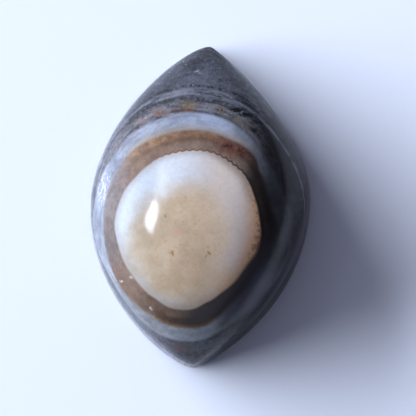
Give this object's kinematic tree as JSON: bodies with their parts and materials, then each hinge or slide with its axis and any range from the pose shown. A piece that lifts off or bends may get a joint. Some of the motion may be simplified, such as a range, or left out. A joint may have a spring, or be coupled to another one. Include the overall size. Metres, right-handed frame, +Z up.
{
  "type": "eye agate cabochon",
  "caption": "Polished eye agate cabochon with a pointed oval outline, a high dome and a flat base, marked with an eye of rings.",
  "frame": {"origin": "middle of the outline's box, on the flat base", "axes": "+Z up through the dome, +Y along the long axis towards the tip that is at the top of the picture"},
  "size_m": [0.0178, 0.026, 0.0082],
  "materials": {
    "banded_agate": "polished"
  },
  "bodies": {
    "root": {"eye_agate_cabochon": "banded_agate"}
  },
  "joints": []
}
